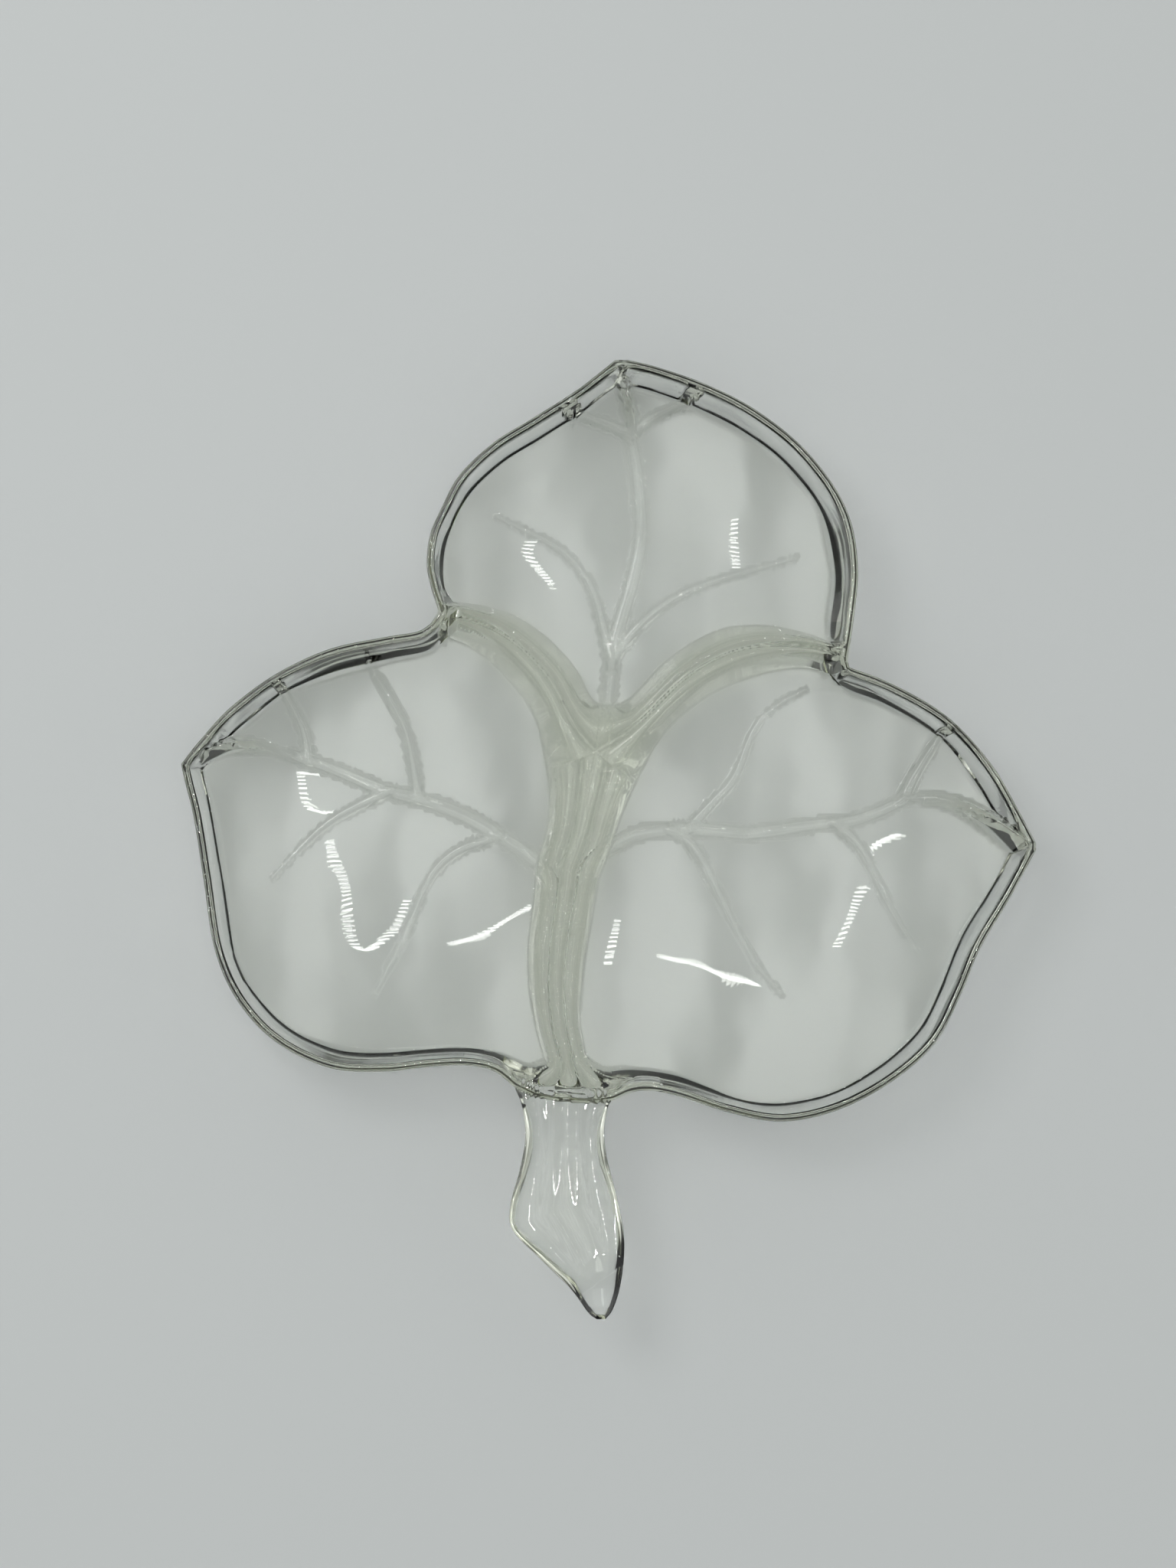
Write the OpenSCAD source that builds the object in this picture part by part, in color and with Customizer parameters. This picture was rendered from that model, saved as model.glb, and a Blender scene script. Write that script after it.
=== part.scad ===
// Leaf dish: a pressed-glass relish dish of three leaves on one stem.
// The dish is one moulding. It is drawn here as its moulded regions, which meet face to face:
// three leaf bowls, the two ridges between them, the bundle of stalks down the middle and
// the stem handle. +Z is up, +Y points to the tip of the top leaf and the handle is at -Y.

/* [Plan] */
// Width of the dish, from the left leaf's tip to the right leaf's tip
bowl_w = 238; // [200:1:280]
// Length of the three bowls, from the root of the stem to the top leaf's tip
bowl_l = 206; // [175:1:240]

/* [Heights] */
// Height of the rim above the table
rim_h = 24; // [20:0.5:32]
// Thickness of the flat floor of each leaf
floor_t = 4.5; // [3:0.25:6]
// Height of the two ridges where they reach the middle of the dish
ridge_h = 18; // [14:0.5:20]
// Height of the bundle of stalks along the middle
stalk_h = 17; // [13:0.5:20]

/* [Walls and rim] */
// Width of the rounded rim
rim_w = 3; // [2:0.25:4]
// Distance in plan from the rim's outer edge to the edge of the floor
wall_run = 5.6; // [5:0.1:8]
// Distance in plan from the rim's outer edge to the edge of the flat base
outer_run = 5; // [4:0.1:7]
// Height of the rounded corner between a wall and the floor
corner_h = 3; // [1.5:0.25:4]

/* [Ridges and stalks] */
// Width in plan of the hollow curve at the foot of a ridge
foot_run = 2.5; // [1.5:0.25:4]
// Height of that hollow curve above the floor
foot_h = 3; // [1.5:0.25:4]
// Distance over which the rim falls to the foot of a ridge that joins it
blend_run = 8; // [6:0.5:10]

/* [Veins] */
// Width of a leaf's middle vein
midrib_w = 5; // [3:0.25:6]
// Width of a side vein at its root
vein_w = 4.2; // [2.5:0.25:5]
// Height of the veins above the floor
vein_h = 1; // [0.5:0.1:2]
// Width of the spine that climbs from the floor to a leaf's tip
spine_w = 5.2; // [3.5:0.25:6.5]

/* [Stem handle] */
// Length of the stem handle beyond its root
stem_l = 61; // [45:1:80]
// Width of the stem handle at its root
stem_w = 27; // [24:0.5:30]
// Thickness of the stem handle in the middle of its length
stem_t = 9; // [6:0.5:12]
// How far the handle's middle sags below the rim
stem_sag = 3; // [0:0.5:6]
// Height of the long folds on the handle's upper side
fold_h = 0.7; // [0:0.1:1.5]

/* [Hidden] */
glass_tint = [0.86, 0.9, 0.86, 0.55];

rim_r = rim_w/2;
rim_mid = rim_h - rim_r;
foot_z = floor_t + foot_h;
root_y = (stem_l - bowl_l)/2;

// Stations along a border near the rim, as shares of blend_run
near_shares = [0, 0.06, 0.19, 0.32, 0.5, 0.75, 1];
// Least share of a length that is measured towards a leaf's centre, where the way there is slanted
slant_share = 0.35;
// Share of a circle's radius that lies outside its 45 degree point
round_share = 1 - cos(45);
// Height across a ridge, from one foot to the other: two crests with a hollow between them
ridge_section_shares = [0, 0.62, 0.96, 1, 0.94, 1, 0.96, 0.62, 0];
// Height across the bundle of three stalks
stalk_section_shares = [0, 0.72, 0.97, 0.95, 0.82, 0.95, 1, 0.95, 0.82, 0.95, 0.97, 0.72, 0];
ridge_cols = len(ridge_section_shares) - 1;
stalk_cols = len(stalk_section_shares) - 1;
// Stations of the stem's root on each side of the stalks, and along one border beyond blend_run
root_side_steps = 4;
far_steps = 12;
root_steps = 2*root_side_steps + stalk_cols;
// Spacing of the stations along a rim
rim_step = bowl_l/50;

// Plan points: x as a share of half the width, y as a share of the bowls' length from the root.
// Rims, anticlockwise round the dish
top_rim_right_shares = [[0.559, 0.592], [0.574, 0.646], [0.585, 0.713], [0.569, 0.779], [0.521, 0.835],
    [0.44, 0.89], [0.332, 0.937], [0.224, 0.968], [0.116, 0.99], [0.044, 1]];
top_rim_left_shares = [[0.015, 1], [-0.073, 0.96], [-0.172, 0.923], [-0.271, 0.887], [-0.351, 0.843],
    [-0.394, 0.797], [-0.42, 0.762], [-0.428, 0.723], [-0.419, 0.692], [-0.4, 0.657]];
left_rim_upper_shares = [[-0.418, 0.641], [-0.45, 0.63], [-0.53, 0.622], [-0.656, 0.606], [-0.781, 0.572],
    [-0.888, 0.526], [-0.962, 0.479], [-1, 0.451]];
left_rim_lower_shares = [[-1, 0.448], [-0.991, 0.425], [-0.97, 0.376], [-0.947, 0.293], [-0.921, 0.201],
    [-0.867, 0.131], [-0.778, 0.076], [-0.653, 0.041], [-0.529, 0.036], [-0.422, 0.042],
    [-0.333, 0.044], [-0.27, 0.036], [-0.222, 0.015]];
root_shares = [[-0.222, 0.015], [-0.17, 0.002], [-0.105, -0.004], [-0.045, -0.006], [0.006, -0.003]];
right_rim_lower_shares = [[0.006, -0.003], [0.069, 0.01], [0.149, 0.004], [0.274, -0.019], [0.399, -0.032],
    [0.525, -0.018], [0.65, 0.018], [0.758, 0.071], [0.821, 0.138], [0.867, 0.2], [0.939, 0.27],
    [1, 0.334]];
right_rim_upper_shares = [[1, 0.343], [0.959, 0.388], [0.905, 0.443], [0.834, 0.493], [0.762, 0.528],
    [0.654, 0.562], [0.563, 0.582]];
// Borders of the ridges and the stalks, each from the rim inwards
left_ridge_top_shares = [[-0.4, 0.657], [-0.34, 0.664], [-0.27, 0.658], [-0.2, 0.641], [-0.14, 0.612],
    [-0.085, 0.575], [-0.046, 0.518]];
left_ridge_low_shares = [[-0.418, 0.641], [-0.345, 0.636], [-0.272, 0.606], [-0.196, 0.568],
    [-0.148, 0.518], [-0.122, 0.46], [-0.118, 0.41]];
right_ridge_top_shares = [[0.559, 0.592], [0.49, 0.617], [0.414, 0.631], [0.341, 0.634], [0.268, 0.629],
    [0.198, 0.608], [0.13, 0.575], [0.088, 0.545], [0.078, 0.522]];
right_ridge_low_shares = [[0.563, 0.582], [0.45, 0.592], [0.34, 0.582], [0.262, 0.567], [0.184, 0.538],
    [0.107, 0.494], [0.068, 0.452], [0.03, 0.405], [-0.01, 0.36]];
stalk_left_shares = [[-0.148, 0.045], [-0.15, 0.09], [-0.165, 0.147], [-0.168, 0.2], [-0.156, 0.263],
    [-0.15, 0.315], [-0.125, 0.363], [-0.118, 0.41]];
stalk_right_shares = [[-0.06, 0.035], [-0.078, 0.07], [-0.083, 0.116], [-0.075, 0.179], [-0.058, 0.242],
    [-0.04, 0.299], [-0.01, 0.36]];
stalk_top_shares = [[-0.046, 0.518], [0.015, 0.514], [0.078, 0.522]];
// Middles of the leaves
top_centre_share = [0.05, 0.82];
left_centre_share = [-0.55, 0.32];
right_centre_share = [0.44, 0.27];

// Veins: the points of each from its root outwards. The first of each leaf is its middle vein
top_vein_shares = [
    [[0, 0.555], [0.017, 0.621], [0.059, 0.706], [0.079, 0.77], [0.07, 0.855], [0.052, 0.915]],
    [[0.008, 0.6], [-0.016, 0.653], [-0.043, 0.701], [-0.098, 0.743], [-0.171, 0.77], [-0.263, 0.796]],
    [[0.014, 0.611], [0.066, 0.64], [0.14, 0.676], [0.231, 0.702], [0.341, 0.722], [0.451, 0.74]],
    [[0.044, 0.911], [0.002, 0.934], [-0.053, 0.943], [-0.105, 0.94]],
    [[0.062, 0.909], [0.103, 0.932], [0.158, 0.948], [0.21, 0.953]]];
left_vein_shares = [
    [[-0.165, 0.318], [-0.262, 0.357], [-0.354, 0.386], [-0.445, 0.405], [-0.536, 0.419],
        [-0.663, 0.449], [-0.758, 0.468]],
    [[-0.45, 0.406], [-0.468, 0.468], [-0.485, 0.505], [-0.518, 0.542], [-0.56, 0.572]],
    [[-0.71, 0.458], [-0.727, 0.505], [-0.764, 0.54]],
    [[-0.52, 0.418], [-0.645, 0.381], [-0.717, 0.347], [-0.799, 0.297]],
    [[-0.26, 0.356], [-0.353, 0.336], [-0.408, 0.31], [-0.444, 0.273], [-0.481, 0.221], [-0.553, 0.14]]];
right_vein_shares = [
    [[0.005, 0.34], [0.066, 0.357], [0.193, 0.365], [0.34, 0.359], [0.486, 0.37], [0.596, 0.378],
        [0.716, 0.407]],
    [[0.19, 0.364], [0.248, 0.4], [0.303, 0.436], [0.349, 0.5], [0.395, 0.532], [0.472, 0.558]],
    [[0.7, 0.402], [0.742, 0.447], [0.79, 0.485]],
    [[0.15, 0.362], [0.193, 0.347], [0.23, 0.315], [0.284, 0.252], [0.339, 0.191], [0.411, 0.138]],
    [[0.54, 0.374], [0.604, 0.336], [0.677, 0.254], [0.737, 0.196]]];
top_spine_shares = [[0.052, 0.915], [0.046, 0.95], [0.03, 0.988]];
left_spine_shares = [[-0.758, 0.468], [-0.86, 0.48], [-0.935, 0.471], [-0.985, 0.452]];
right_spine_shares = [[0.716, 0.407], [0.8, 0.405], [0.89, 0.383], [0.985, 0.342]];

// Edges of the stem handle: x as a share of its width from the root's middle, y of its length
stem_left_shares = [[-0.424, -0.04], [-0.391, -0.179], [-0.454, -0.334], [-0.543, -0.483], [-0.524, -0.598],
    [-0.243, -0.729], [0.072, -0.864], [0.25, -0.969], [0.34, -1]];
stem_right_shares = [[0.46, -0.04], [0.42, -0.145], [0.446, -0.267], [0.546, -0.442], [0.617, -0.598],
    [0.624, -0.719], [0.58, -0.858], [0.506, -0.956], [0.43, -1]];
// Height of the handle along its length, above and below its middle plane, as shares of its thickness
stem_rows = 18;
stem_up_shares = [[0, 0.12], [0.3, 0.34], [0.6, 0.4], [0.75, 0.4], [0.9, 0.22], [1, 0.06]];
stem_down_shares = [[0, 0.5], [0.3, 0.58], [0.6, 0.58], [0.8, 0.5], [0.95, 0.3], [1, 0.1]];
folds = 3;

// Stations along a vein and along a spine, and steps round their backs
vein_steps = 9;
spine_steps = 7;
arc_steps = 4;
// How deep the veins and the spines are sunk in the floor
sink = floor_t/4;
// Width of a middle vein where it meets the spine, as a share of the spine's width
midrib_end_share = 0.8;
// Width and height of a side vein at its end, as a share of those at its root
vein_end_share = 0.5;
// Width of a spine along its length, as shares of its full width
spine_width_shares = [[0, 0.65], [0.2, 0.89], [0.4, 0.93], [0.7, 0.76], [1, 0.54]];
// Height of a spine's sides as a share of its back's
spine_side_share = 0.7;
// Height above the floor at which a spine ends, in the roll of the rim
spine_end_h = rim_h - rim_r/2 - floor_t;
// Distance over which a ridge falls from the rim's height to its own
ridge_fall = 3*blend_run;
// Rows of the stalks over which they rise from the top leaf's edge
rise_rows = 4;
// Least thickness of an edge that is drawn open
thin = rim_r/1000;

function lerp(a, b, t) = a + (b - a)*t;
function clamp01(t) = max(0, min(1, t));
function smooth(t) = let(u = clamp01(t)) u*u*(3 - 2*u);
function reversed(p) = [for (i = [len(p) - 1:-1:0]) p[i]];
function plan(share) = [share.x*bowl_w/2, root_y + share.y*bowl_l];
function plans(shares) = [for (s = shares) plan(s)];

// A smooth curve through the points p
function curve_point(a, b, c, d, t) =
    (2*b + (c - a)*t + (2*a - 5*b + 4*c - d)*t*t + (3*b - a - 3*c + d)*t*t*t)/2;
function curve(p, steps = 6) = concat(
    [for (i = [0:len(p) - 2], j = [0:steps - 1])
        curve_point(i > 0 ? p[i - 1] : 2*p[0] - p[1], p[i], p[i + 1],
            i + 2 < len(p) ? p[i + 2] : 2*p[i + 1] - p[i], j/steps)],
    [p[len(p) - 1]]);

// Lengths along a path, and the path's point at a length
function lengths(p) =
    [for (i = 0, s = 0; i < len(p); s = s + (i + 1 < len(p) ? norm(p[i + 1] - p[i]) : 0), i = i + 1) s];
function at_length(p, l, s) =
    let(i = max([0, for (k = [0:len(p) - 2]) if (l[k] <= s) k]))
    lerp(p[i], p[i + 1], clamp01((s - l[i])/(l[i + 1] - l[i])));
function even_points(p, steps) =
    let(l = lengths(p), whole = l[len(l) - 1])
    [for (i = [0:steps]) at_length(p, l, whole*i/steps)];
function points_by_step(p, step) = even_points(p, ceil(lengths(p)[len(p) - 1]/step));

// A station of a border: [x, y, top, bottom, share of the border that is a ridge above, and below]
function rim_station(p) = [p.x, p.y, rim_mid, rim_mid, 0, 0];
function rim_stations(shares) = [for (p = points_by_step(curve(plans(shares)), rim_step)) rim_station(p)];

// How far the root of the stem opens the rim, from nothing at its ends
function root_open(i) = sin(180*i/root_steps);
root_points = even_points(curve(plans(root_shares)), root_steps);
root_stations = [for (i = [0:root_steps])
    [root_points[i].x, root_points[i].y, rim_mid + stem_up_shares[0][1]*stem_t/2*root_open(i),
        rim_mid - stem_down_shares[0][1]*stem_t*root_open(i), 0, 0]];

// The roll of the rim across a border that starts at the rim's outer edge
function rim_roll(a) = a < rim_w ? rim_r*sin(180*a/rim_w) : 0;

// A border between two regions, from its start at the rim to the middle of the dish
function border(points, start) =
    let(p = curve(concat([[start.x, start.y]], points)), l = lengths(p), whole = l[len(l) - 1],
        far = [for (j = [1:far_steps]) lerp(blend_run, whole, j/far_steps)],
        near = [for (s = near_shares) s*blend_run])
    [for (a = concat(near, far))
        let(q = at_length(p, l, a), above = smooth(a/blend_run),
            below = 1 - pow(1 - clamp01(a/outer_run), 2))
        [q.x, q.y, lerp(start[2], foot_z, above) + rim_roll(a), start[3]*(1 - below), above, below]];

function tail(p) = [for (i = [1:len(p) - 1]) p[i]];
top_left_notch = rim_station(plan(left_ridge_top_shares[0]));
low_left_notch = rim_station(plan(left_ridge_low_shares[0]));
top_right_notch = rim_station(plan(right_ridge_top_shares[0]));
low_right_notch = rim_station(plan(right_ridge_low_shares[0]));
left_top_border = border(plans(tail(left_ridge_top_shares)), top_left_notch);
left_low_border = border(plans(tail(left_ridge_low_shares)), low_left_notch);
right_top_border = border(plans(tail(right_ridge_top_shares)), top_right_notch);
right_low_border = border(plans(tail(right_ridge_low_shares)), low_right_notch);
stalk_left_border = border(plans(stalk_left_shares), root_stations[root_side_steps]);
stalk_right_border = border(plans(stalk_right_shares), root_stations[root_side_steps + stalk_cols]);
stalk_top_border = [for (p = even_points(curve(plans(stalk_top_shares)), stalk_cols))
    [p.x, p.y, foot_z, 0, 1, 1]];

// The last cross-section of a ridge, which the stalks share
function ridge_end(a, b) = [for (c = [0:ridge_cols]) let(p = lerp(a, b, c/ridge_cols))
    [p.x, p.y, foot_z + (ridge_h - foot_z)*ridge_section_shares[c], 0, 1, 1]];
left_ridge_end = ridge_end(left_top_border[len(left_top_border) - 1], left_low_border[len(left_low_border) - 1]);
right_ridge_end = ridge_end(right_top_border[len(right_top_border) - 1], right_low_border[len(right_low_border) - 1]);

// Wall of a leaf, from the rim's outer edge to the floor: [distance inwards, height]
wall_profile = [
    [0, rim_mid],
    [rim_r*round_share, rim_h - rim_r*round_share],
    [rim_r, rim_h],
    [rim_w - rim_r*round_share, rim_h - rim_r*round_share],
    [rim_w, rim_mid],
    [lerp(rim_w, wall_run, 0.45), floor_t + corner_h],
    [lerp(rim_w, wall_run, 0.72), floor_t + corner_h/4],
    [wall_run, floor_t]];
// Outside of a leaf, from the rim's outer edge to the flat base
outer_profile = [
    [0, rim_mid],
    [rim_r*round_share, rim_mid - rim_r*(1 - round_share)],
    [outer_run*0.4, corner_h],
    [outer_run*0.7, corner_h/4],
    [outer_run, 0]];

function inward(loop, i, centre) =
    let(n = len(loop), a = loop[(i + n - 1)%n], b = loop[(i + 1)%n], t = [b.x - a.x, b.y - a.y],
        normal = [-t.y, t.x]/norm(t), ray = centre - [loop[i].x, loop[i].y], u = ray/norm(ray))
    u/max(slant_share, u*normal);

// A leaf's bowl: rings round its border, drawn in towards its centre
module leaf_bowl(loop, centre) {
    n = len(loop);
    wall_n = len(wall_profile);
    outer_n = len(outer_profile);
    ways = [for (i = [0:n - 1]) inward(loop, i, centre)];
    top = [for (k = [0:wall_n - 1], i = [0:n - 1])
        let(s = loop[i], share = wall_profile[k].x/wall_run,
            run = lerp(wall_profile[k].x, share*foot_run, s[4]),
            ridge_side = floor_t + foot_h*pow(1 - share, 2))
        [s.x + ways[i].x*run, s.y + ways[i].y*run, k == 0 ? s[2] : lerp(wall_profile[k].y, ridge_side, s[4])]];
    bottom = [for (k = [0:outer_n - 1], i = [0:n - 1])
        let(s = loop[i])
        [s.x + ways[i].x*outer_profile[k].x, s.y + ways[i].y*outer_profile[k].x,
            k == 0 ? s[3] : outer_profile[k].y*(1 - s[5])]];
    first_bottom = len(top);
    top_centre = first_bottom + len(bottom);
    function closed(i) = loop[i][2] - loop[i][3] < thin;
    function low(k, i) = k == 0 && closed(i) ? i : first_bottom + k*n + i;
    faces = [for (i = [0:n - 1]) let(j = (i + 1)%n) each concat(
        [for (k = [0:wall_n - 2]) each [[k*n + i, (k + 1)*n + i, (k + 1)*n + j], [k*n + i, (k + 1)*n + j, k*n + j]]],
        [[(wall_n - 1)*n + i, top_centre, (wall_n - 1)*n + j]],
        [for (k = [0:outer_n - 2]) each [[low(k, i), low(k, j), low(k + 1, j)], [low(k, i), low(k + 1, j), low(k + 1, i)]]],
        [[low(outer_n - 1, i), low(outer_n - 1, j), top_centre + 1]],
        closed(i) ? [] : [[i, j, low(0, i)]],
        closed(j) ? [] : [[j, low(0, j), low(0, i)]])];
    polyhedron(concat(top, bottom, [[centre.x, centre.y, floor_t], [centre.x, centre.y, 0]]), faces);
}

// A solid between an upper and a lower sheet of points. Both are lists of rows, seen from above
// each row runs from left to right and the rows run away from the viewer.
module sheet_solid(upper, lower) {
    rows = len(upper);
    cols = len(upper[0]);
    count = rows*cols;
    function up(r, c) = r*cols + c;
    function same(r, c) = upper[r][c].z - lower[r][c].z < thin;
    function dn(r, c) = same(r, c) ? up(r, c) : count + up(r, c);
    function side(r, c, r2, c2) = concat(
        same(r, c) ? [] : [[up(r, c), up(r2, c2), dn(r, c)]],
        same(r2, c2) ? [] : [[up(r2, c2), dn(r2, c2), dn(r, c)]]);
    faces = concat(
        [for (r = [0:rows - 2], c = [0:cols - 2]) each [
            [up(r, c), up(r + 1, c), up(r + 1, c + 1)], [up(r, c), up(r + 1, c + 1), up(r, c + 1)],
            [dn(r, c), dn(r + 1, c + 1), dn(r + 1, c)], [dn(r, c), dn(r, c + 1), dn(r + 1, c + 1)]]],
        [for (c = [0:cols - 2]) each concat(side(0, c, 0, c + 1), side(rows - 1, c + 1, rows - 1, c))],
        [for (r = [0:rows - 2]) each concat(side(r + 1, 0, r, 0), side(r, cols - 1, r + 1, cols - 1))]);
    polyhedron([for (sheet = [upper, lower], row = sheet, p = row) p], faces);
}

function blend_row(a, b, shares, crest) =
    [for (c = [0:len(shares) - 1]) let(p = lerp(a, b, c/(len(shares) - 1)))
        [p.x, p.y, lerp(p[2], crest, shares[c])]];
function floor_row(a, b, cols) = [for (c = [0:cols]) let(p = lerp(a, b, c/cols)) [p.x, p.y, p[3]]];

function border_length(b, r) = r == 0 ? 0 : norm([b[r].x - b[r - 1].x, b[r].y - b[r - 1].y]) + border_length(b, r - 1);

// A ridge between two leaves: it leaves the rim at its full height and falls to ridge_h
module ridge(a_side, b_side) {
    rows = len(a_side);
    upper = [for (r = [0:rows - 1])
        let(a = border_length(a_side, r),
            crest = lerp(rim_mid, ridge_h, smooth(a/ridge_fall)) + rim_roll(min(a, rim_r)))
        blend_row(a_side[r], b_side[r], ridge_section_shares, r == rows - 1 ? ridge_h : crest)];
    lower = [for (r = [0:rows - 1]) floor_row(a_side[r], b_side[r], ridge_cols)];
    sheet_solid(reversed(upper), reversed(lower));
}

// Sections across a bar with a rounded back, square to its path
function bar_rings(path, widths, sides, backs) =
    let(last = len(path) - 1)
    [for (i = [0:last])
        let(d = path[min(i + 1, last)] - path[max(i - 1, 0)], side = [-d.y, d.x]/norm(d)*widths[i]/2)
        concat(
            [for (k = [0:arc_steps]) let(a = 180*k/arc_steps)
                [path[i].x + side.x*cos(a), path[i].y + side.y*cos(a), lerp(sides[i], backs[i], sin(a))]],
            [for (way = [-1, 1]) [path[i].x + side.x*way, path[i].y + side.y*way, floor_t - sink]])];

// A raised vein: a low rounded bar along a curve, sunk a little into the floor
module vein(shares, w_root, w_end, h_root, h_end) {
    path = even_points(curve(plans(shares)), vein_steps);
    steps = [for (i = [0:vein_steps]) i/vein_steps];
    tube(bar_rings(path, [for (t = steps) lerp(w_root, w_end, t)], [for (t = steps) floor_t],
        [for (t = steps) floor_t + lerp(h_root, h_end, t)]));
}

// The spine that climbs from the floor to a leaf's tip
module spine(shares) {
    path = even_points(curve(plans(shares)), spine_steps);
    steps = [for (i = [0:spine_steps]) i/spine_steps];
    climb = [for (t = steps) lerp(vein_h, spine_end_h, smooth(t))];
    tube(bar_rings(path, [for (t = steps) lookup(t, spine_width_shares)*spine_w],
        [for (h = climb) floor_t + h*spine_side_share], [for (h = climb) floor_t + h]));
}

// A closed solid through rings of points that run anticlockwise as seen from the last ring
module tube(rings) {
    m = len(rings[0]);
    last = len(rings) - 1;
    faces = concat(
        [for (i = [0:last - 1], k = [0:m - 1]) let(k2 = (k + 1)%m) each [
            [i*m + k, (i + 1)*m + k2, i*m + k2], [i*m + k, (i + 1)*m + k, (i + 1)*m + k2]]],
        [for (k = [1:m - 2]) each [[0, k, k + 1], [last*m, last*m + k + 1, last*m + k]]]);
    polyhedron([for (ring = rings, p = ring) p], faces);
}

module leaf(loop, centre_share, vein_shares, spine_shares) {
    color(glass_tint) union() {
        leaf_bowl(loop, plan(centre_share));
        for (i = [0:len(vein_shares) - 1])
            vein(vein_shares[i], i == 0 ? midrib_w : vein_w,
                i == 0 ? spine_w*midrib_end_share : vein_w*vein_end_share,
                vein_h, i == 0 ? vein_h : vein_h*vein_end_share);
        spine(spine_shares);
    }
}

module top_leaf() {
    loop = concat(tail(rim_stations(top_rim_right_shares)), rim_stations(top_rim_left_shares),
        tail(left_top_border), tail(stalk_top_border), tail(reversed(right_top_border)));
    leaf(loop, top_centre_share, top_vein_shares, top_spine_shares);
}

module left_leaf() {
    root = [for (i = [1:root_side_steps]) root_stations[i]];
    loop = concat(tail(rim_stations(left_rim_upper_shares)), rim_stations(left_rim_lower_shares), root,
        tail(stalk_left_border), tail(reversed(left_low_border)));
    leaf(loop, left_centre_share, left_vein_shares, left_spine_shares);
}

module right_leaf() {
    root = [for (i = [root_side_steps + stalk_cols:root_steps - 1]) root_stations[i]];
    loop = concat(root, rim_stations(right_rim_lower_shares), rim_stations(right_rim_upper_shares),
        tail(right_low_border), [for (i = [len(stalk_right_border) - 2:-1:1]) stalk_right_border[i]]);
    leaf(loop, right_centre_share, right_vein_shares, right_spine_shares);
}

module left_ridge() color(glass_tint) ridge(left_top_border, left_low_border);

module right_ridge() color(glass_tint) ridge(right_top_border, right_low_border);

// The bundle of three stalks, from the top leaf down the middle to the root of the stem
module stalk_bundle() {
    left = concat(left_ridge_end, tail(reversed(stalk_left_border)));
    right = concat(right_ridge_end, tail(reversed(stalk_right_border)));
    rows = len(left);
    last = rows - 1;
    root_first = root_side_steps;
    upper = [for (r = [0:rows - 1])
        let(a = r > ridge_cols ? border_length(stalk_left_border, last - r) : bowl_l,
            crest = r < rise_rows ? lerp(foot_z, stalk_h, smooth(r/rise_rows))
                : lerp(rim_mid, stalk_h, smooth((a - rim_r)/(wall_run - rim_r))) + rim_roll(a))
        r == 0 ? [for (s = stalk_top_border) [s.x, s.y, s[2]]]
        : r == last ? [for (c = [0:stalk_cols]) let(s = root_stations[root_first + c]) [s.x, s.y, s[2]]]
        : blend_row(left[r], right[r], stalk_section_shares, crest)];
    lower = [for (r = [0:rows - 1])
        r == last ? [for (c = [0:stalk_cols]) let(s = root_stations[root_first + c]) [s.x, s.y, s[3]]]
        : r == 0 ? [for (s = stalk_top_border) [s.x, s.y, s[3]]]
        : floor_row(left[r], right[r], stalk_cols)];
    color(glass_tint) sheet_solid(reversed(upper), reversed(lower));
}

// The stem handle: a thick twig that leaves the rim at its root and ends in a slanted cut
module stem_handle() {
    root_mid = lerp(root_points[0], root_points[root_steps], 0.5);
    function edge(shares, start) = even_points(curve(concat([start],
        [for (s = shares) [root_mid.x + s.x*stem_w, root_y + s.y*stem_l]])), stem_rows);
    left = edge(stem_left_shares, root_points[0]);
    right = edge(stem_right_shares, root_points[root_steps]);
    function row(r, way, shares) = r == 0
        ? [for (s = root_stations) [s.x, s.y, way > 0 ? s[2] : s[3]]]
        : [for (c = [0:root_steps])
            let(v = c/root_steps, t = r/stem_rows, p = lerp(left[r], right[r], v),
                bulge = sqrt(clamp01(1 - pow(2*v - 1, 2))),
                fold = way > 0 ? fold_h*(1 - cos(360*folds*v))/2*bulge*(1 - t) : 0)
            [p.x, p.y, rim_mid - stem_sag*sin(180*t) + way*(lookup(t, shares)*stem_t*bulge + fold)]];
    upper = [for (r = [0:stem_rows]) row(r, 1, stem_up_shares)];
    lower = [for (r = [0:stem_rows]) row(r, -1, stem_down_shares)];
    color(glass_tint) sheet_solid(reversed(upper), reversed(lower));
}

top_leaf();
left_leaf();
right_leaf();
left_ridge();
right_ridge();
stalk_bundle();
stem_handle();
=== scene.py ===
"""Leaf dish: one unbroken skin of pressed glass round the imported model's seven moulded regions.

The skin has an upper and a lower side over one plan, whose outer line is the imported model's. The height of
each side is worked out at every point, so that the three floors, the walls, the ridges, the stalks, the
veins and the stem handle flow into each other as they do in a moulding.
"""

import math

import bpy
import numpy as np
from mathutils import Matrix, Vector
from mathutils.geometry import delaunay_2d_cdt
from mathutils.kdtree import KDTree

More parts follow.
